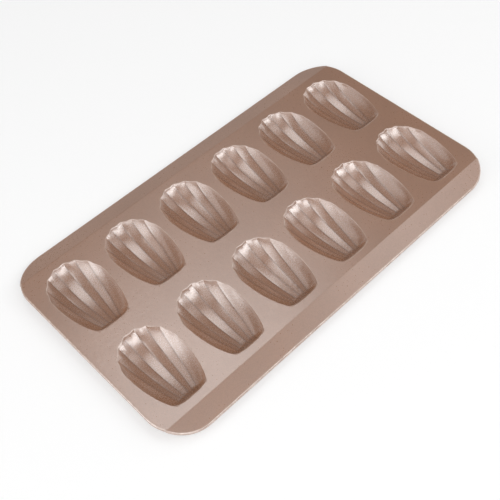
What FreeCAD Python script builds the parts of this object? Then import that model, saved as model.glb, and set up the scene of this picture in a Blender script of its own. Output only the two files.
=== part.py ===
import FreeCAD, Part
import math
import os
from FreeCAD import Vector

# Madeleine pan: one pressed sheet of coated steel, cut here where the press changes its form.
# Millimetres. X runs along the pan, the narrow ends of the cups face -Y, +Z is up.
# The pan stands on its cups at z = 0. While it is built, the top of the deck is z = 0.

# Pan
pan_length = 392.4
pan_width = 224.0
deck_width = 187.0        # flat deck between the two creases
corner_radius = 34.5      # corners of the outline, seen from above
sheet = 0.8               # thickness of the coated sheet
wing_angle = 15.0         # degrees, the long sides bent down past each crease
bend_radius = 5.0         # top face of each crease
rim_radius = 1.5          # outside of the turned-down edge
rim_drop = 2.2            # height of the turned-down edge

# Cups
columns = 6
rows = ["front", "rear"]
column_pitch = 63.0
row_pitch = 94.8
narrow_end_at = -86.65    # y of the front row's narrow ends
cup_length = 77.1         # along the middle rib, from the narrow end to the scalloped end
cup_half_width = 26.2
widest_at = 46.0          # measured from the narrow end
deepest_at = 34.0         # measured from the narrow end
cup_depth = 12.6          # at the crests of the ribs; the grooves go deeper
side_reach = 56.0         # half axis of the long ellipse that the sides follow
side_spread = 2.4         # how far above the deck the sides' profile is centred, 1 for a circle
wall_rise = 5.4           # how far above the deck the scalloped end's profile is centred
keel_slope = 0.24         # rise of the bottom towards the narrow end, far from the deepest place
keel_blend = 31.0         # rounding between that slope and the deepest place
end_wall_angle = 50.0     # degrees from level, the wall across the narrow end
end_wall_blend = 2.4      # depth over which that wall runs into the bottom
end_half_width = 14.7     # corner of the narrow end, where its bow is end_bow
end_bow = 2.2             # how far the narrow end falls back at its corners
flange = 4.0              # flat rim of deck that stays with each cup

# Ribs: the grooves between them are a fan of parabolas with one vertex behind the narrow end
fan_vertex = 5.2
grooves = [0.54, 1.567, 2.54]         # sideways per root of the distance from the vertex
scallop_limit = 3.4       # where the scalloped part of the lip ends; the sides past it are smooth
fan_limit = 6.27          # outermost fan line, at the corner of the narrow end
rib_height = 0.42         # of the control net at the scalloped end; about what flat ribs need
line_depth = 0.4          # of the fine line at the bottom of each groove, as a part of its height
line_power = 12           # how closely that line keeps to the bottom
lobe_height = 1.4         # of the scalloped lip, more than the ribs give
lobe_fade = 15            # power of the way to the lip, so the lobes fade out within some 8 mm of it
rib_columns = [0.07, 0.25, 0.5, 0.75, 0.93, 1.0]   # fan lines across each rib, as parts of its width
side_columns = 6          # fan lines between the scalloped lip and the corner

# Rows of the control net along each fan line
wall_share = 0.14         # part of the line with close rows, for the end wall
wall_rows = 10
bowl_rows = 12
flat_rows = [0.0, 0.2, 0.6, 1.0]      # parts of the flange's width

half_deck = deck_width / 2
slope = math.radians(wing_angle)
wall_slope = math.radians(end_wall_angle)
wing_flat = (pan_width / 2 - half_deck - bend_radius * math.sin(slope)
             - rim_radius * (1 - math.sin(slope))) / math.cos(slope)
half_fan = grooves + [scallop_limit]
rib_edges = [-u for u in reversed(half_fan)] + half_fan
last_crest = (grooves[-1] + scallop_limit) / 2


def end_reach(along):
    return cup_length - widest_at if along > widest_at else side_reach


def lip_half_width(along):
    away = (along - widest_at) / end_reach(along)
    return cup_half_width * math.sqrt(max(0.0, 1.0 - away ** 2))


def arc_depth(deep, rise, reach):
    # Elliptic profile: deep in the middle, 0 at reach 1, its centre at the height rise
    fullness = 1.0 - (rise / (deep + rise)) ** 2
    return (deep + rise) * math.sqrt(max(0.0, 1.0 - fullness * reach ** 2)) - rise


def keel_depth(along):
    if along < deepest_at:
        return cup_depth - keel_slope * (math.hypot(deepest_at - along, keel_blend) - keel_blend)
    return arc_depth(cup_depth, wall_rise, (along - deepest_at) / (cup_length - deepest_at))


def bowl_depth(across, along):
    deep = keel_depth(along)
    half = lip_half_width(along)
    if deep <= 0.0 or half <= abs(across):
        return 0.0
    rise = side_spread * ((half ** 2 + deep ** 2) / (2 * deep) - deep)
    return arc_depth(deep, rise, across / half)


def fan_across(u, along):
    return u * math.sqrt(along + fan_vertex)


def lip_along(u):
    inside = 0.0
    outside = cup_length
    for _ in range(50):
        middle = (inside + outside) / 2
        if abs(fan_across(u, middle)) < lip_half_width(middle):
            inside = middle
        else:
            outside = middle
    return inside


def bowl_point(u, share):
    along = lip_along(u) * share
    across = fan_across(u, along)
    return Vector(across, along, -bowl_depth(across, along))


def bowl_normal(u, share):
    step = 0.002
    low = min(max(share, step), 1.0 - step)
    side = bowl_point(u + step, low) - bowl_point(u - step, low)
    forward = bowl_point(u, low + step) - bowl_point(u, low - step)
    return forward.cross(side).normalize()


def groove_depth(u, along, share):
    # A flat rib is a chord of the bowl, so its grooves deepen with the square of its width
    grown = (along + fan_vertex) / (cup_length + fan_vertex)
    height = rib_height * grown if abs(u) < last_crest else 0.0
    lobe = lobe_height * grown ** 2 * share ** lobe_fade
    for left, right in zip(rib_edges, rib_edges[1:]):
        if left <= u <= right:
            crest = 1.0 - abs(2 * (u - left) / (right - left) - 1.0)
            line = line_depth * (1.0 - crest) ** line_power
            return height * ((1.0 - crest) ** 2 + line) + lobe * (1.0 - crest ** 2)
    return lobe


def smooth_least(a, b, blend):
    near = max(blend - abs(a - b), 0.0) / blend
    return min(a, b) - near * near * blend / 4


def lip_outward(lip):
    return Vector(lip.x / cup_half_width ** 2, (lip.y - widest_at) / end_reach(lip.y) ** 2, 0).normalize()


def cup_point(u, share, skin):
    base = bowl_point(u, share)
    point = base + bowl_normal(u, share) * (groove_depth(u, base.y, share) + skin)
    bow = end_bow * (point.x / end_half_width) ** 4
    wall_depth = (point.y - bow + skin / math.sin(wall_slope)) * math.tan(wall_slope)
    depth = smooth_least(-point.z, wall_depth, end_wall_blend)
    return Vector(point.x, point.y, -max(depth, skin))


def row_shares():
    close = [wall_share * row / wall_rows for row in range(1, wall_rows)]
    rest = 1.0 - wall_share
    quarter = math.pi / 2 / bowl_rows
    return close + [wall_share + rest * math.sin(quarter * row) for row in range(bowl_rows)]


def fan_line(u, skin):
    # From the flat before the narrow end, down the end wall, along the bottom and over the lip
    start_x = fan_across(u, 0.0)
    heel = skin * math.tan(wall_slope / 2)
    line = [Vector(start_x, -heel - (flange - heel) * part, -skin) for part in reversed(flat_rows)]
    line += [cup_point(u, share, skin) for share in row_shares()]
    lip = bowl_point(u, 1.0)
    lip.z = -skin
    out = lip_outward(lip)
    swell = groove_depth(u, lip.y, 1.0) + skin
    line += [lip + out * (swell + (flange - swell) * part) for part in flat_rows]
    return line


def corner_line(side, skin):
    # The flat corner beside the narrow end closes the fan on each side
    last = fan_line(side * fan_limit, skin)
    start = last[0] + Vector(side * flange / 2, 0, 0)
    end = (start + last[-1]) / 2
    count = len(last) - 1
    return [start + (end - start) * (i / count) for i in range(count + 1)]


def fan_columns():
    ribs = [rib_edges[0]]
    for left, right in zip(rib_edges, rib_edges[1:]):
        ribs += [left + (right - left) * q for q in rib_columns]
    step = (fan_limit - scallop_limit) / side_columns
    side = [scallop_limit + step * column for column in range(1, side_columns + 1)]
    return [-u for u in reversed(side)] + ribs + side


def clamped_knots(count):
    inner = count - 4
    return [4] + [1] * inner + [4], [float(i) for i in range(inner + 2)]


def cup_face(skin):
    net = [corner_line(-1, skin)]
    net += [fan_line(u, skin) for u in fan_columns()]
    net.append(corner_line(1, skin))
    u_mults, u_knots = clamped_knots(len(net))
    v_mults, v_knots = clamped_knots(len(net[0]))
    surface = Part.BSplineSurface()
    surface.buildFromPolesMultsKnots(net, u_mults, v_mults, u_knots, v_knots, False, False, 3, 3)
    return surface.toShape()


def make_cup():
    inside = cup_face(0.0)
    outside = cup_face(sheet)
    walls = [edge.extrude(Vector(0, 0, -sheet)) for edge in inside.Edges]
    shell = Part.Shell([inside, outside] + walls)
    shell.sewShape()
    cup = Part.Solid(shell)
    if cup.Volume < 0:
        cup.reverse()
    return cup


def cup_outline():
    return Part.Wire(Part.__sortEdges__(cup_face(0.0).Edges))


def cup_places():
    for row, name in enumerate(rows):
        for column in range(columns):
            x = (column - (columns - 1) / 2) * column_pitch
            yield "cup_%s_%d" % (name, column + 1), Vector(x, narrow_end_at + row * row_pitch, 0)


def rounded_plate(half_x, half_y, radius, top, bottom, edge_round):
    plate = Part.makeBox(2 * half_x, 2 * half_y, top - bottom, Vector(-half_x, -half_y, bottom))
    upright = [edge for edge in plate.Edges if edge.BoundBox.ZLength > (top - bottom) / 2]
    plate = plate.makeFillet(radius, upright)
    if edge_round > 0:
        upper = [edge for edge in plate.Edges if edge.BoundBox.ZMin > top - 0.001]
        plate = plate.makeFillet(edge_round, upper)
    return plate


def grown_plate(grow, top, bottom, edge_round=0.0):
    # The flat blank's outline, grown past the line where its edge starts to turn down
    half_x = pan_length / 2 - rim_radius + grow
    half_y = half_deck + wing_flat + grow
    return rounded_plate(half_x, half_y, corner_radius - rim_radius + grow, top, bottom, edge_round)


def band(low_y, high_y):
    reach = pan_length
    return Part.makeBox(2 * reach, high_y - low_y, 2 * reach, Vector(-reach, low_y, -reach))


def bent_down(flat, side):
    # Turns a flat piece of the long side down about its crease and fills the bend
    axis_at = Vector(0, side * half_deck, -bend_radius)
    axis = Vector(-side, 0, 0)
    cut = [face for face in flat.Faces if face.BoundBox.YLength < 0.001]
    bends = [face.revolve(axis_at, axis, wing_angle) for face in cut
             if abs(face.CenterOfMass.y - side * half_deck) < 0.001]
    turned = flat.copy()
    turned.rotate(axis_at, axis, wing_angle)
    return turned.fuse(bends).removeSplitter()


def make_sheet():
    blank = grown_plate(rim_radius, 0.0, -rim_drop, rim_radius)
    hollow = grown_plate(rim_radius - sheet, -sheet, -2 * rim_drop, rim_radius - sheet)
    blank = blank.cut(hollow)
    core = grown_plate(0.0, 2 * rim_drop, -2 * rim_drop)
    level = blank.common(core)
    edge = blank.cut(core)
    middle = band(-half_deck, half_deck)
    front = band(-pan_width, -half_deck)
    rear = band(half_deck, pan_width)
    deck = level.common(middle)
    outline = Part.Face(cup_outline())
    for _, place in cup_places():
        hole = outline.translated(place + Vector(0, 0, sheet)).extrude(Vector(0, 0, -3 * sheet))
        deck = deck.cut(hole)
    ends = edge.common(middle).Solids
    return {
        "deck_panel": deck,
        "wing_front": bent_down(level.common(front), -1),
        "wing_rear": bent_down(level.common(rear), 1),
        "rim_front": bent_down(edge.common(front), -1),
        "rim_rear": bent_down(edge.common(rear), 1),
        "rim_left": min(ends, key=lambda solid: solid.CenterOfMass.x),
        "rim_right": max(ends, key=lambda solid: solid.CenterOfMass.x),
    }


def make_pan():
    pieces = make_sheet()
    cup = make_cup()
    for name, place in cup_places():
        pieces[name] = cup.translated(place)
    lift = Vector(0, 0, -cup.optimalBoundingBox(False, False).ZMin)
    return {name: piece.translated(lift) for name, piece in pieces.items()}


os.makedirs("parts", exist_ok=True)
for name, piece in make_pan().items():
    solid = piece.Solids[0]
    box = solid.BoundBox
    print("%-14s valid %s  solids %d  %.1f x %.1f x %.1f mm, z %.2f to %.2f, %.0f mm3" % (
        name, piece.isValid(), len(piece.Solids), box.XLength, box.YLength, box.ZLength,
        box.ZMin, box.ZMax, solid.Volume))
    solid.exportStep("parts/%s.step" % name)
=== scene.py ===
import bpy
import bmesh
import math
from mathutils import Matrix, Vector


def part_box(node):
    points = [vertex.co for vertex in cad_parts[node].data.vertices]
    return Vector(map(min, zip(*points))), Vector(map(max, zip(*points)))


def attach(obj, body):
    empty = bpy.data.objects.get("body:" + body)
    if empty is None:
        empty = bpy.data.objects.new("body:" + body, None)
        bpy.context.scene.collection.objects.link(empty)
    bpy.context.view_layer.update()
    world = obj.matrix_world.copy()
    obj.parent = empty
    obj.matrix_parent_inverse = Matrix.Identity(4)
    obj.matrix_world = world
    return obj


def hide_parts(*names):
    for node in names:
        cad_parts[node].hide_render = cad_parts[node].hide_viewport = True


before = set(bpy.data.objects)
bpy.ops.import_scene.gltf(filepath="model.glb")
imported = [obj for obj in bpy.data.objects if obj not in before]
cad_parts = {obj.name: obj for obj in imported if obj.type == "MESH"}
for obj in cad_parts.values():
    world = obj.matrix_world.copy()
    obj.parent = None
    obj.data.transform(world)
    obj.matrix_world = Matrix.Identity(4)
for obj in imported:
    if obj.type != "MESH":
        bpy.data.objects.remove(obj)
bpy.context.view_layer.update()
scene = bpy.context.scene
mm = 0.001
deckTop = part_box("deck_panel")[1].z
print("frame loaded, deck %.2f mm above the table" % (deckTop / mm))

shellCup = {
    "columns": 6, "rows": ["front", "rear"], "columnPitch": 63.0, "rowPitch": 94.8, "narrowEndAt": -86.65,
    "length": 77.1, "halfWidth": 26.2, "widestAt": 46.0, "deepestAt": 34.0, "depth": 12.6,
    "sideReach": 56.0, "sideSpread": 2.4, "wallRise": 5.4, "keelSlope": 0.24, "keelBlend": 31.0,
    "endWallAngle": 50.0, "endWallBlend": 0.8, "endHalfWidth": 14.7, "endBow": 2.2, "flange": 4.0,
    "fanVertex": 5.2, "grooves": [0.54, 1.567, 2.54], "scallopLimit": 3.4, "fanLimit": 6.27,
    "ribHeight": 0.42, "lineDepth": 0.4, "linePower": 12, "lineWidth": 1.7, "lobeHeight": 0.8, "lobeFade": 30,
    "ribColumns": [0.07, 0.25, 0.5, 0.75, 0.93, 1.0], "sideColumns": 6, "wallShare": 0.14, "wallRows": 10,
    "bowlRows": 12, "flatRows": [0.0, 0.2, 0.6, 1.0], "thickness": 0.8, "smoothing": 2,
    "halvings": 50, "shareStep": 0.002, "pressedOver": 2.0, "cutAbove": 2.0, "cutHeight": 5.0,
}
halfFan = shellCup["grooves"] + [shellCup["scallopLimit"]]
ribEdges = [-u for u in reversed(halfFan)] + halfFan
lastCrest = sum(halfFan[-2:]) / 2


def endReach(along):
    # half axis of the lip's ellipse towards the end that this place is nearer to
    if along > shellCup["widestAt"]:
        return shellCup["length"] - shellCup["widestAt"]
    return shellCup["sideReach"]


def lipHalfWidth(along):
    away = (along - shellCup["widestAt"]) / endReach(along)
    return shellCup["halfWidth"] * math.sqrt(max(0.0, 1.0 - away ** 2))


def arcDepth(deep, rise, reach):
    fullness = 1.0 - (rise / (deep + rise)) ** 2
    return (deep + rise) * math.sqrt(max(0.0, 1.0 - fullness * reach ** 2)) - rise


def keelDepth(along):
    back, blend = shellCup["deepestAt"] - along, shellCup["keelBlend"]
    if back > 0.0:
        return shellCup["depth"] - shellCup["keelSlope"] * (math.hypot(back, blend) - blend)
    reach = back / (shellCup["deepestAt"] - shellCup["length"])
    return arcDepth(shellCup["depth"], shellCup["wallRise"], reach)


def bowlDepth(across, along):
    deep = keelDepth(along)
    half = lipHalfWidth(along)
    if deep <= 0.0 or half <= abs(across):
        return 0.0
    rise = shellCup["sideSpread"] * ((half ** 2 + deep ** 2) / (2 * deep) - deep)
    return arcDepth(deep, rise, across / half)


def fanAcross(u, along):
    return u * math.sqrt(along + shellCup["fanVertex"])


def lipAlong(u):
    inside, outside = 0.0, shellCup["length"]
    for _ in range(shellCup["halvings"]):
        middle = (inside + outside) / 2
        if abs(fanAcross(u, middle)) < lipHalfWidth(middle):
            inside = middle
        else:
            outside = middle
    return inside


def bowlPoint(u, share):
    along = lipAlong(u) * share
    across = fanAcross(u, along)
    return Vector((across, along, -bowlDepth(across, along)))


def bowlNormal(u, share):
    step = shellCup["shareStep"]
    low = min(max(share, step), 1.0 - step)
    side = bowlPoint(u + step, low) - bowlPoint(u - step, low)
    forward = bowlPoint(u, low + step) - bowlPoint(u, low - step)
    return forward.cross(side).normalized()


def grooveDepth(u, along, share):
    grown = (along + shellCup["fanVertex"]) / (shellCup["length"] + shellCup["fanVertex"])
    height = shellCup["ribHeight"] * grown if abs(u) < lastCrest else 0.0
    lobe = shellCup["lobeHeight"] * grown ** 2 * share ** shellCup["lobeFade"]
    for left, right in zip(ribEdges, ribEdges[1:]):
        if left <= u <= right:
            crest = 1.0 - abs(2 * (u - left) / (right - left) - 1.0)
            line = shellCup["lineDepth"] * (1.0 - crest) ** shellCup["linePower"]
            return height * ((1.0 - crest) ** 2 + line) + lobe * (1.0 - crest ** 2)
    return lobe


def smoothLeast(a, b, blend):
    near = max(blend - abs(a - b), 0.0) / blend
    return min(a, b) - near * near * blend / 4


def cupPoint(u, share):
    base = bowlPoint(u, share)
    point = base + bowlNormal(u, share) * grooveDepth(u, base.y, share)
    bow = shellCup["endBow"] * (point.x / shellCup["endHalfWidth"]) ** 4
    wallDepth = (point.y - bow) * math.tan(math.radians(shellCup["endWallAngle"]))
    depth = smoothLeast(-point.z, wallDepth, shellCup["endWallBlend"])
    return Vector((point.x, point.y, -max(depth, 0.0)))


def fanLine(u):
    flange = shellCup["flange"]
    line = [Vector((fanAcross(u, 0.0), -flange * part, 0.0)) for part in reversed(shellCup["flatRows"])]
    share = shellCup["wallShare"]
    line += [cupPoint(u, share * row / shellCup["wallRows"]) for row in range(1, shellCup["wallRows"])]
    for row in range(shellCup["bowlRows"]):
        line.append(cupPoint(u, share + (1.0 - share) * math.sin(math.pi / 2 * row / shellCup["bowlRows"])))
    lip = bowlPoint(u, 1.0)
    lip.z = 0.0
    ahead = lip.y - shellCup["widestAt"]
    out = Vector((lip.x / shellCup["halfWidth"] ** 2, ahead / endReach(lip.y) ** 2, 0.0)).normalized()
    swell = grooveDepth(u, lip.y, 1.0)
    return line + [lip + out * (swell + (flange - swell) * part) for part in shellCup["flatRows"]]


def cornerLine(side):
    # flat corner beside the narrow end
    last = fanLine(side * shellCup["fanLimit"])
    start = last[0] + Vector((side * shellCup["flange"] / 2, 0.0, 0.0))
    return [start.lerp((start + last[-1]) / 2, row / (len(last) - 1)) for row in range(len(last))]


def fanColumns():
    ribs = [ribEdges[0]]
    for left, right in zip(ribEdges, ribEdges[1:]):
        ribs += [left + (right - left) * q for q in shellCup["ribColumns"]]
    step = (shellCup["fanLimit"] - ribEdges[-1]) / shellCup["sideColumns"]
    side = [ribEdges[-1] + step * (column + 1) for column in range(shellCup["sideColumns"])]
    return [-u for u in reversed(side)] + ribs + side


def cupPlaces():
    for row, rowName in enumerate(shellCup["rows"]):
        for column in range(shellCup["columns"]):
            x = (column - (shellCup["columns"] - 1) / 2) * shellCup["columnPitch"]
            y = shellCup["narrowEndAt"] + row * shellCup["rowPitch"]
            yield "cup_%s_%d" % (rowName, column + 1), Vector((x, y, 0.0))


def benchObject(bm, name):
    # a passing object that a modifier works on
    mesh = bpy.data.meshes.new(name)
    bm.to_mesh(mesh)
    bm.free()
    holder = bpy.data.objects.new(name, mesh)
    scene.collection.objects.link(holder)
    return holder


def shapedMesh(holder):
    mesh = bpy.data.meshes.new_from_object(holder.evaluated_get(bpy.context.evaluated_depsgraph_get()))
    bpy.data.objects.remove(holder)
    return mesh


def cupSkin():
    # a grid pulled into the shell, then rounded by subdivision
    net = [cornerLine(-1)] + [fanLine(u) for u in fanColumns()] + [cornerLine(1)]
    lastColumn, lastRow = len(net) - 1, len(net[0]) - 1
    bm = bmesh.new()
    bmesh.ops.create_grid(bm, x_segments=lastColumn, y_segments=lastRow, size=1.0)
    for vert in bm.verts:
        column = round((vert.co.x + 1.0) / 2 * lastColumn)
        row = round((vert.co.y + 1.0) / 2 * lastRow)
        vert.co = net[column][row]
    holder = benchObject(bm, "cupNet")
    rounding = holder.modifiers.new("rounding", "SUBSURF")
    rounding.levels = rounding.render_levels = shellCup["smoothing"]
    return shapedMesh(holder)


crestMeasure = {
    "cutTurn": 0.6, "leastEdge": 0.001, "leastAcross": 0.1, "fullTurnRate": 0.3, "crispAngle": 40.0,
}


def turnRate(item):
    # turn of the sheet across one edge in radians a millimetre, none at a cut edge
    turn = item.calc_face_angle_signed(0.0)
    if len(item.link_faces) != 2 or abs(turn) > crestMeasure["cutTurn"]:
        return 0.0
    area = sum(face.calc_area() for face in item.link_faces) / 2
    across = area / max(item.calc_length(), crestMeasure["leastEdge"])
    return turn / max(across, crestMeasure["leastAcross"])


def markCrests(bm):
    # how sharply the sheet turns outwards at each point, for the rubbed edges of the coat and the painted
    # highlight along them
    crest = bm.verts.layers.float.new("crest")
    for vert in bm.verts:
        mean = sum(turnRate(item) for item in vert.link_edges) / len(vert.link_edges)
        vert[crest] = min(max(mean / crestMeasure["fullTurnRate"], 0.0), 1.0)


def finishMesh(bm, name):
    # both faces of the sheet shade smoothly, its cut edges stay crisp
    markCrests(bm)
    for face in bm.faces:
        face.smooth = True
    mesh = bpy.data.meshes.new(name)
    bm.to_mesh(mesh)
    bm.free()
    mesh.set_sharp_from_angle(angle=math.radians(crestMeasure["crispAngle"]))
    return mesh


def inPlace(mesh, place):
    # millimetres on the deck to metres over the table
    mesh.transform(Matrix.Translation(place * mm + Vector((0.0, 0.0, deckTop))) @ Matrix.Scale(mm, 4))
    return mesh


def thickCup(skin):
    bm = bmesh.new()
    bm.from_mesh(skin)
    bmesh.ops.solidify(bm, geom=bm.faces[:], thickness=shellCup["thickness"])
    pressed = bm.verts.layers.float.new("pressed")
    # groove: how near each point lies to a groove line, the mask for the painted shade along the grooves
    groove = bm.verts.layers.float.new("groove")
    for vert in bm.verts:
        deep = (-vert.co.z - shellCup["thickness"]) / shellCup["pressedOver"]
        vert[pressed] = min(max(deep, 0.0), 1.0)
        spread = math.sqrt(max(vert.co.y + shellCup["fanVertex"], 1.0))
        aside = min(abs(abs(vert.co.x) / spread - u) for u in shellCup["grooves"]) * spread
        vert[groove] = vert[pressed] * max(1.0 - aside / shellCup["lineWidth"], 0.0)
    print("cup: %d faces, volume %.0f mm3" % (len(bm.faces), bm.calc_volume(signed=True)))
    return finishMesh(bm, "thickCup")


def vertsOf(geometry):
    return [item for item in geometry if isinstance(item, bmesh.types.BMVert)]


def cupCutters(skin):
    # an upright prism on the outline of each cup
    bm = bmesh.new()
    bm.from_mesh(skin)
    bmesh.ops.delete(bm, geom=bm.faces[:], context="FACES_KEEP_BOUNDARY")
    bmesh.ops.translate(bm, vec=(0.0, 0.0, shellCup["cutAbove"]), verts=bm.verts[:])
    bmesh.ops.contextual_create(bm, geom=bm.edges[:])
    made = bmesh.ops.extrude_face_region(bm, geom=bm.faces[:], use_keep_orig=True)["geom"]
    bmesh.ops.translate(bm, vec=(0.0, 0.0, -shellCup["cutHeight"]), verts=vertsOf(made))
    bmesh.ops.recalc_face_normals(bm, faces=bm.faces[:])
    prism = bm.verts[:] + bm.edges[:] + bm.faces[:]
    for _, place in cupPlaces():
        made = bmesh.ops.duplicate(bm, geom=prism)["geom"]
        bmesh.ops.translate(bm, vec=place, verts=vertsOf(made))
    bmesh.ops.delete(bm, geom=prism, context="VERTS")
    return bm


panSheet = {
    "length": 392.4, "width": 224.0, "deckWidth": 187.0, "cornerRadius": 34.5, "thickness": 0.8,
    "wingAngle": 15.0, "bendRadius": 5.0, "rimRadius": 1.5, "rimDrop": 2.2,
    "cornerSteps": 32, "bendSteps": 6, "rimSteps": 8, "guard": 0.4, "edgeRound": 0.2, "roundSteps": 2,
    "lowest": 0.05, "cutEdgeTurn": 1.0, "cutSlack": 0.001, "mergeSlack": 0.002,
}


def rimProfile():
    # outward and downward steps of the turned-down edge
    radius = panSheet["rimRadius"]
    yield 0.0, 0.0
    for step in range(1, panSheet["rimSteps"] + 1):
        turn = math.pi / 2 * step / panSheet["rimSteps"]
        yield radius * math.sin(turn), radius * (1.0 - math.cos(turn))
    yield radius, panSheet["rimDrop"]


def flatSheet():
    # the blank with its edge turned down, not bent yet
    slope = math.radians(panSheet["wingAngle"])
    radius, bend = panSheet["rimRadius"], panSheet["bendRadius"]
    halfDeck = panSheet["deckWidth"] / 2
    wingFlat = (panSheet["width"] / 2 - halfDeck - bend * math.sin(slope)
                - radius * (1.0 - math.sin(slope))) / math.cos(slope)
    coreX = panSheet["length"] / 2 - panSheet["cornerRadius"]
    coreY = halfDeck + wingFlat + radius - panSheet["cornerRadius"]
    corner = panSheet["cornerRadius"] - radius
    bm = bmesh.new()
    bmesh.ops.create_grid(bm, x_segments=1, y_segments=1, size=1.0)
    reach = corner - panSheet["guard"]
    bmesh.ops.scale(bm, vec=(coreX + reach, coreY + reach, 1.0), verts=bm.verts)
    bmesh.ops.bevel(bm, geom=bm.verts[:], offset=reach, offset_type="OFFSET", affect="VERTICES",
                    segments=panSheet["cornerSteps"], profile=0.5, material=-1)
    edge = bm.edges[:]
    for grow, drop in rimProfile():
        made = bmesh.ops.extrude_edge_only(bm, edges=edge)["geom"]
        edge = [item for item in made if isinstance(item, bmesh.types.BMEdge)]
        for vert in vertsOf(made):
            x = min(max(vert.co.x, -coreX), coreX)
            y = min(max(vert.co.y, -coreY), coreY)
            out = Vector((vert.co.x - x, vert.co.y - y, 0.0)).normalized()
            vert.co = Vector((x, y, -drop)) + out * (corner + grow)
    bmesh.ops.solidify(bm, geom=bm.faces[:], thickness=panSheet["thickness"])
    bottom = panSheet["lowest"] - panSheet["rimDrop"]
    low = [item for item in bm.edges if max(vert.co.z for vert in item.verts) < bottom
           and item.calc_face_angle() > panSheet["cutEdgeTurn"]]
    bmesh.ops.bevel(bm, geom=low, offset=panSheet["edgeRound"], offset_type="OFFSET", affect="EDGES",
                    segments=panSheet["roundSteps"], profile=0.5, material=-1)
    return bm


def onCrease(vert, crease):
    return abs(vert.co.y - crease) < panSheet["mergeSlack"]


def bendWing(bm, side):
    # splits the sheet along the crease, turns the wing down and spins the bend in between
    slope = math.radians(panSheet["wingAngle"])
    crease = side * panSheet["deckWidth"] / 2
    for guard in (-panSheet["guard"], panSheet["guard"], 0.0):
        everything = bm.verts[:] + bm.edges[:] + bm.faces[:]
        bmesh.ops.bisect_plane(bm, geom=everything, dist=panSheet["cutSlack"],
                               plane_co=(0.0, crease + guard, 0.0), plane_no=(0.0, 1.0, 0.0))
    line = [item for item in bm.edges if all(onCrease(vert, crease) for vert in item.verts)]
    bmesh.ops.split_edges(bm, edges=line)
    outer = [face for face in bm.faces if side * (face.calc_center_median().y - crease) > 0]
    wing = {vert for face in outer for vert in face.verts}
    centre = (0.0, crease, -panSheet["bendRadius"])
    bmesh.ops.rotate(bm, cent=centre, matrix=Matrix.Rotation(-side * slope, 3, "X"), verts=list(wing))
    line = [item for item in bm.edges
            if all(onCrease(vert, crease) and vert not in wing for vert in item.verts)]
    bmesh.ops.spin(bm, geom=line + list({vert for item in line for vert in item.verts}), cent=centre,
                   axis=(-side, 0.0, 0.0), dvec=(0.0, 0.0, 0.0), angle=slope, steps=panSheet["bendSteps"],
                   use_merge=False, use_duplicate=False)
    bmesh.ops.remove_doubles(bm, verts=bm.verts[:], dist=panSheet["mergeSlack"])


def thickSheet(skin):
    bm = flatSheet()
    for side in (-1, 1):
        bendWing(bm, side)
    bmesh.ops.recalc_face_normals(bm, faces=bm.faces[:])
    blank = benchObject(bm, "blank")
    cutters = benchObject(cupCutters(skin), "cutters")
    holes = blank.modifiers.new("holes", "BOOLEAN")
    holes.operation, holes.solver, holes.object = "DIFFERENCE", "EXACT", cutters
    bm = bmesh.new()
    bm.from_mesh(shapedMesh(blank))
    bpy.data.objects.remove(cutters)
    openEdges = sum(1 for item in bm.edges if len(item.link_faces) != 2)
    print("sheet: %d faces, %d open edges, volume %.0f mm3" % (
        len(bm.faces), openEdges, bm.calc_volume(signed=True)))
    return finishMesh(bm, "panSheet")


champagneCoat = {
    "deepColour": (0.222, 0.105, 0.056, 1.0), "paleColour": (0.408, 0.208, 0.126, 1.0),
    # rubbed crests: real wear of the coat and a painted highlight along the rounded lip
    "rubbedAndHighlightColour": (0.66, 0.53, 0.46, 1.0), "rubbedAndHighlight": 0.7,
    # painted shade: a darker colour along the groove lines, where shade falls in the creases
    "grooveShadeColour": (0.145, 0.066, 0.036, 1.0), "grooveShade": 0.5, "grooveShadeFrom": 0.1,
    "roughness": 0.29, "roughSpread": 0.04, "roughTones": (0.2, 0.8), "pressedGloss": 0.03, "ior": 2.85,
    "flakes": 1800.0, "clouds": 16.0, "patches": 220.0, "flakeRelief": 0.000004, "peelRelief": 0.00006,
    "fleckShare": 0.65, "glintShare": 0.15, "cloudShare": 0.2,
    "flakeShare": 0.55, "mottleShare": 0.45, "mottleCoarseness": 0.45, "glintTones": (0.9, 1.0),
    "cloudTones": (0.25, 0.75), "peelFineness": 22.0,
    "patchTones": (0.35, 0.7), "leastPatch": 0.25, "crestTones": (0.25, 0.95),
}


def addNode(nodes, kind, place, **values):
    made = nodes.new(kind)
    made.location = place
    for name, value in values.items():
        setattr(made, name, value)
    return made


def newGroup(name, inputs, outputs):
    group = bpy.data.node_groups.new(name, "ShaderNodeTree")
    for label, kind in inputs.items():
        group.interface.new_socket(label, in_out="INPUT", socket_type=kind)
    for label in outputs:
        group.interface.new_socket(label, in_out="OUTPUT", socket_type="NodeSocketFloat")
    start = addNode(group.nodes, "NodeGroupInput", (-900, 0))
    end = addNode(group.nodes, "NodeGroupOutput", (600, 0))
    return group, start, end


def reckon(tree, place, operation, first, second=None):
    # one Math node; a number or a socket for each side
    made = addNode(tree.nodes, "ShaderNodeMath", place, operation=operation)
    for slot, value in zip(made.inputs, (first, second)):
        if isinstance(value, (int, float)):
            slot.default_value = value
        elif value is not None:
            tree.links.new(value, slot)
    return made.outputs[0]


def scaled(tree, place, value, share):
    return reckon(tree, place, "MULTIPLY", value, share)


def remap(tree, place, value, low, high, newLow=0.0, newHigh=1.0):
    made = addNode(tree.nodes, "ShaderNodeMapRange", place, interpolation_type="SMOOTHSTEP")
    made.inputs["From Min"].default_value, made.inputs["From Max"].default_value = low, high
    made.inputs["To Min"].default_value, made.inputs["To Max"].default_value = newLow, newHigh
    tree.links.new(value, made.inputs["Value"])
    return made.outputs["Result"]


def noiseValue(tree, place, vector, scale, detail, roughness=0.5):
    made = addNode(tree.nodes, "ShaderNodeTexNoise", place)
    made.inputs["Detail"].default_value, made.inputs["Roughness"].default_value = detail, roughness
    tree.links.new(vector, made.inputs["Vector"])
    tree.links.new(scale, made.inputs["Scale"])
    return made.outputs["Fac"]


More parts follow.
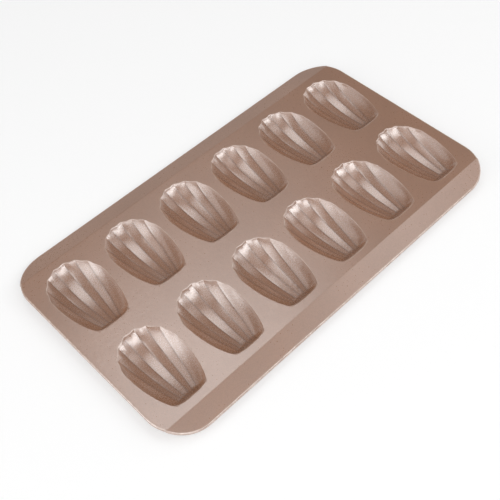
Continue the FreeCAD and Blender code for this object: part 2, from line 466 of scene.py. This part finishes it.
def micaGrainGroup():
    # mica flakes in the lacquer: one random tone for each flake, a few that glint, and a soft relief
    sockets = {"Vector": "NodeSocketVector", "Flakes per metre": "NodeSocketFloat"}
    group, start, end = newGroup("micaGrain", sockets, ["Shade", "Glint", "Height"])
    flakes = addNode(group.nodes, "ShaderNodeTexVoronoi", (-600, 100))
    group.links.new(start.outputs["Vector"], flakes.inputs["Vector"])
    group.links.new(start.outputs["Flakes per metre"], flakes.inputs["Scale"])
    tone = addNode(group.nodes, "ShaderNodeSeparateColor", (-400, 100))
    group.links.new(flakes.outputs["Color"], tone.inputs[0])
    coarse = scaled(group, (-600, -200), start.outputs["Flakes per metre"], champagneCoat["mottleCoarseness"])
    mottle = noiseValue(group, (-400, -200), start.outputs["Vector"], coarse, 3.0, 0.6)
    mixed = reckon(group, (-200, 0), "ADD",
                   scaled(group, (-200, 120), tone.outputs[0], champagneCoat["flakeShare"]),
                   scaled(group, (-200, -120), mottle, champagneCoat["mottleShare"]))
    group.links.new(mixed, end.inputs["Shade"])
    glint = remap(group, (200, 200), tone.outputs[1], *champagneCoat["glintTones"])
    group.links.new(glint, end.inputs["Glint"])
    group.links.new(mottle, end.inputs["Height"])
    return group


def sprayCloudGroup():
    # slow drift of the sprayed coat, and its faint orange peel
    sockets = {"Vector": "NodeSocketVector", "Clouds per metre": "NodeSocketFloat"}
    group, start, end = newGroup("sprayCloud", sockets, ["Tone", "Peel"])
    wide = noiseValue(group, (-400, 100), start.outputs["Vector"], start.outputs["Clouds per metre"], 2.0)
    group.links.new(remap(group, (0, 100), wide, *champagneCoat["cloudTones"]), end.inputs["Tone"])
    fine = scaled(group, (-600, -150), start.outputs["Clouds per metre"], champagneCoat["peelFineness"])
    group.links.new(noiseValue(group, (-400, -150), start.outputs["Vector"], fine, 1.0), end.inputs["Peel"])
    return group


def rubbedEdgeAndHighlightGroup():
    # rubbed edges with a painted highlight: the coat turns paler where the sheet bends sharply outwards, in
    # broken patches
    sockets = {"Vector": "NodeSocketVector", "Crest": "NodeSocketFloat",
               "Patches per metre": "NodeSocketFloat"}
    group, start, end = newGroup("rubbedEdgeAndHighlight", sockets, ["Mask"])
    density = start.outputs["Patches per metre"]
    broken = noiseValue(group, (-400, -100), start.outputs["Vector"], density, 4.0, 0.65)
    patch = remap(group, (-200, -100), broken, *champagneCoat["patchTones"], champagneCoat["leastPatch"])
    edge = remap(group, (-200, 100), start.outputs["Crest"], *champagneCoat["crestTones"])
    group.links.new(reckon(group, (200, 0), "MULTIPLY", edge, patch), end.inputs["Mask"])
    return group


def useGroup(tree, group, place, vector, **values):
    made = addNode(tree.nodes, "ShaderNodeGroup", place)
    made.node_tree = group
    tree.links.new(vector, made.inputs["Vector"])
    for name, value in values.items():
        made.inputs[name.replace("_", " ")].default_value = value
    return made


def coatMaterial():
    material = bpy.data.materials.new("champagne_coat")
    material.use_nodes = True
    tree = material.node_tree
    shader = tree.nodes["Principled BSDF"]
    spot = addNode(tree.nodes, "ShaderNodeTexCoord", (-1500, 0)).outputs["Object"]
    crest = addNode(tree.nodes, "ShaderNodeAttribute", (-1500, -300), attribute_name="crest")
    pressed = addNode(tree.nodes, "ShaderNodeAttribute", (-1500, -500), attribute_name="pressed")
    line = addNode(tree.nodes, "ShaderNodeAttribute", (-1500, -700), attribute_name="groove")
    grain = useGroup(tree, micaGrainGroup(), (-1200, 300), spot, Flakes_per_metre=champagneCoat["flakes"])
    cloud = useGroup(tree, sprayCloudGroup(), (-1200, 0), spot, Clouds_per_metre=champagneCoat["clouds"])
    rubAndHighlight = useGroup(tree, rubbedEdgeAndHighlightGroup(), (-1200, -300), spot, Patches_per_metre=champagneCoat["patches"])
    tree.links.new(crest.outputs["Fac"], rubAndHighlight.inputs["Crest"])
    fleck = reckon(tree, (-1050, 450), "ADD",
                   scaled(tree, (-1050, 350), grain.outputs["Shade"], champagneCoat["fleckShare"]),
                   scaled(tree, (-1050, 600), grain.outputs["Glint"], champagneCoat["glintShare"]))
    tone = reckon(tree, (-900, 200), "ADD", fleck,
                  scaled(tree, (-900, 50), cloud.outputs["Tone"], champagneCoat["cloudShare"]))
    colour = addNode(tree.nodes, "ShaderNodeMix", (-600, 300), data_type="RGBA")
    colour.inputs["A"].default_value = champagneCoat["deepColour"]
    colour.inputs["B"].default_value = champagneCoat["paleColour"]
    tree.links.new(tone, colour.inputs["Factor"])
    # paler on the outward bends: wear of the coat and a painted highlight along the lip
    wornAndLit = addNode(tree.nodes, "ShaderNodeMix", (-300, 300), data_type="RGBA")
    wornAndLit.inputs["B"].default_value = champagneCoat["rubbedAndHighlightColour"]
    tree.links.new(colour.outputs["Result"], wornAndLit.inputs["A"])
    wearAndHighlight = scaled(tree, (-600, 50), rubAndHighlight.outputs["Mask"], champagneCoat["rubbedAndHighlight"])
    tree.links.new(wearAndHighlight, wornAndLit.inputs["Factor"])
    # painted shade along the groove lines, mixed into the coat's colour
    grooveShade = addNode(tree.nodes, "ShaderNodeMix", (-150, 300), data_type="RGBA")
    grooveShade.inputs["B"].default_value = champagneCoat["grooveShadeColour"]
    tree.links.new(wornAndLit.outputs["Result"], grooveShade.inputs["A"])
    share = remap(tree, (-900, -1050), line.outputs["Fac"], champagneCoat["grooveShadeFrom"], 1.0,
                  0.0, champagneCoat["grooveShade"])
    tree.links.new(share, grooveShade.inputs["Factor"])
    tree.links.new(grooveShade.outputs["Result"], shader.inputs["Base Color"])
    middle, spread = champagneCoat["roughness"], champagneCoat["roughSpread"] / 2
    rough = remap(tree, (-600, -150), tone, *champagneCoat["roughTones"], middle + spread, middle - spread)
    smooth = scaled(tree, (-600, -350), pressed.outputs["Fac"], champagneCoat["pressedGloss"])
    rough = reckon(tree, (-300, -200), "SUBTRACT", rough, smooth)
    tree.links.new(rough, shader.inputs["Roughness"])
    shader.inputs["IOR"].default_value = champagneCoat["ior"]
    relief = reckon(tree, (-600, -700), "ADD",
                    scaled(tree, (-900, -650), grain.outputs["Height"], champagneCoat["flakeRelief"]),
                    scaled(tree, (-900, -850), cloud.outputs["Peel"], champagneCoat["peelRelief"]))
    bump = addNode(tree.nodes, "ShaderNodeBump", (-300, -700))
    bump.inputs["Distance"].default_value = 1.0
    tree.links.new(relief, bump.inputs["Height"])
    tree.links.new(bump.outputs["Normal"], shader.inputs["Normal"])
    return material


def addPiece(name, mesh, material, *nodes):
    mesh.materials.clear()
    mesh.materials.append(material)
    piece = bpy.data.objects.new(name, mesh)
    scene.collection.objects.link(piece)
    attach(piece, "root")
    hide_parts(*nodes)


coat = coatMaterial()
skin = cupSkin()
cupMesh = thickCup(skin)
sheetMesh = thickSheet(skin)
addPiece("pan_sheet", inPlace(sheetMesh, Vector()), coat, "deck_panel", "wing_front", "wing_rear",
         "rim_front", "rim_rear", "rim_left", "rim_right")
for node, place in cupPlaces():
    addPiece(node + "_shell", inPlace(cupMesh.copy(), place), coat, node)
print("pan built")

studio = {
    "camera": (-0.316215, -0.340780, 0.568603), "azimuth": -41.6123, "elevation": 52.8702, "roll": 3.4727,
    "lens": 59.594, "sensor": 36.0, "ambient": 0.11, "horizon": (0.06, 0.18), "lampsAway": 2.0,
    "floorColour": (0.96, 0.96, 0.96, 1.0), "floorRoughness": 0.9, "floorGlow": 0.5,
    "floorReach": 1.25, "floorCells": 8,
    "softboxes": [
        {"name": "leftLow", "azimuth": 168, "elevation": 20, "size": (1.2, 0.85), "radiance": 2.99},
        {"name": "leftHigh", "azimuth": 178, "elevation": 50, "size": (1.0, 1.0), "radiance": 2.16},
        {"name": "frontLeft", "azimuth": 242, "elevation": 33, "size": (0.85, 1.0), "radiance": 4.15},
        {"name": "frontHigh", "azimuth": 288, "elevation": 56, "size": (0.85, 0.7), "radiance": 3.73},
        {"name": "frontRight", "azimuth": 312, "elevation": 40, "size": (0.76, 0.62), "radiance": 4.48},
        {"name": "frontRightHigh", "azimuth": 351, "elevation": 57, "size": (0.6, 0.55), "radiance": 1.24},
        {"name": "rightLow", "azimuth": 340, "elevation": 24, "size": (0.72, 0.62), "radiance": 2.07},
        {"name": "right", "azimuth": 0, "elevation": 40, "size": (0.64, 0.56), "radiance": 0.66},
        {"name": "backTop", "azimuth": 60, "elevation": 71, "size": (0.85, 0.95), "radiance": 1.83},
        {"name": "back", "azimuth": 51, "elevation": 53, "size": (0.7, 0.56), "radiance": 0.48},
        {"name": "leftBack", "azimuth": 140, "elevation": 42, "size": (1.0, 0.9), "radiance": 0.83},
        {"name": "backLow", "azimuth": 66, "elevation": 22, "size": (1.5, 0.6), "radiance": 0.38},
        {"name": "frontTop", "azimuth": 240, "elevation": 73, "size": (0.75, 0.7), "radiance": 0.9},
        {"name": "frontLeftHigh", "azimuth": 250, "elevation": 54, "size": (0.7, 0.56), "radiance": 0.98},
    ],
}


def addSoftbox(box):
    lamp = bpy.data.lights.new(box["name"], "AREA")
    lamp.shape = "RECTANGLE"
    lamp.size, lamp.size_y = box["size"]
    lamp.energy = box["radiance"] * math.pi * lamp.size * lamp.size_y
    turn, tilt = math.radians(box["azimuth"]), math.radians(box["elevation"])
    toward = Vector((math.cos(turn) * math.cos(tilt), math.sin(turn) * math.cos(tilt), math.sin(tilt)))
    holder = bpy.data.objects.new(box["name"], lamp)
    holder.location = toward * studio["lampsAway"]
    holder.rotation_euler = toward.to_track_quat("Z", "Y").to_euler()
    scene.collection.objects.link(holder)


def addWorld():
    world = bpy.data.worlds.new("whiteStudio")
    scene.world = world
    world.use_nodes = True
    nodes, links = world.node_tree.nodes, world.node_tree.links
    nodes.clear()
    # a pale horizon all round, dim above it
    spot = addNode(nodes, "ShaderNodeTexCoord", (-800, 0))
    parts = addNode(nodes, "ShaderNodeSeparateXYZ", (-600, 0))
    links.new(spot.outputs["Object"], parts.inputs[0])
    low, high = studio["horizon"]
    level = remap(world.node_tree, (-300, 0), parts.outputs["Z"], low, high, 1.0, studio["ambient"])
    background = addNode(nodes, "ShaderNodeBackground", (0, 0))
    background.inputs["Color"].default_value = (1.0, 1.0, 1.0, 1.0)
    links.new(level, background.inputs["Strength"])
    output = addNode(nodes, "ShaderNodeOutputWorld", (200, 0))
    links.new(background.outputs[0], output.inputs["Surface"])


def mixShaders(tree, place, factor, first, second):
    made = addNode(tree.nodes, "ShaderNodeMixShader", place)
    tree.links.new(factor, made.inputs[0])
    tree.links.new(first.outputs[0], made.inputs[1])
    tree.links.new(second.outputs[0], made.inputs[2])
    return made


def addFloor():
    bm = bmesh.new()
    cells = studio["floorCells"]
    bmesh.ops.create_grid(bm, x_segments=cells, y_segments=cells, size=studio["floorReach"])
    mesh = bpy.data.meshes.new("floor")
    bm.to_mesh(mesh)
    bm.free()
    material = bpy.data.materials.new("pale_floor")
    material.use_nodes = True
    tree = material.node_tree
    shader = tree.nodes["Principled BSDF"]
    shader.inputs["Base Color"].default_value = studio["floorColour"]
    shader.inputs["Roughness"].default_value = studio["floorRoughness"]
    shader.inputs["Specular IOR Level"].default_value = 0.0
    # half of what the camera and gloss see is plain white; the other half keeps the shadow
    ray = addNode(tree.nodes, "ShaderNodeLightPath", (-800, -200))
    seen = reckon(tree, (-600, -200), "MAXIMUM", ray.outputs["Is Camera Ray"], ray.outputs["Is Glossy Ray"])
    seen = reckon(tree, (-400, -200), "MAXIMUM", seen, ray.outputs["Is Transmission Ray"])
    white = addNode(tree.nodes, "ShaderNodeEmission", (0, -200))
    glow = scaled(tree, (-200, -200), seen, studio["floorGlow"])
    paled = mixShaders(tree, (400, 100), glow, shader, white)
    material.cycles.emission_sampling = "NONE"
    # clear from below, so that the underside can be looked at
    side = addNode(tree.nodes, "ShaderNodeNewGeometry", (400, 400))
    clear = addNode(tree.nodes, "ShaderNodeBsdfTransparent", (400, -200))
    mixed = mixShaders(tree, (700, 100), side.outputs["Backfacing"], paled, clear)
    tree.links.new(mixed.outputs[0], tree.nodes["Material Output"].inputs["Surface"])
    mesh.materials.append(material)
    floor = bpy.data.objects.new("floor", mesh)
    scene.collection.objects.link(floor)


def addCamera():
    turn, tilt, roll = (math.radians(studio[key]) for key in ("azimuth", "elevation", "roll"))
    back = Vector((math.sin(turn) * math.cos(tilt), -math.cos(turn) * math.cos(tilt), math.sin(tilt)))
    right = Vector((0.0, 0.0, 1.0)).cross(back).normalized()
    up = back.cross(right)
    facing = Matrix((right, up, back)).transposed() @ Matrix.Rotation(-roll, 3, "Z")
    camera = bpy.data.cameras.new("photoCamera")
    camera.lens = studio["lens"]
    camera.sensor_width = studio["sensor"]
    holder = bpy.data.objects.new("photoCamera", camera)
    place = Vector(studio["camera"]) + Vector((0.0, 0.0, deckTop))
    holder.matrix_world = Matrix.Translation(place) @ facing.to_4x4()
    scene.collection.objects.link(holder)
    scene.camera = holder


addWorld()
addFloor()
for box in studio["softboxes"]:
    addSoftbox(box)
addCamera()
scene.view_settings.view_transform = "Standard"
print("studio set")
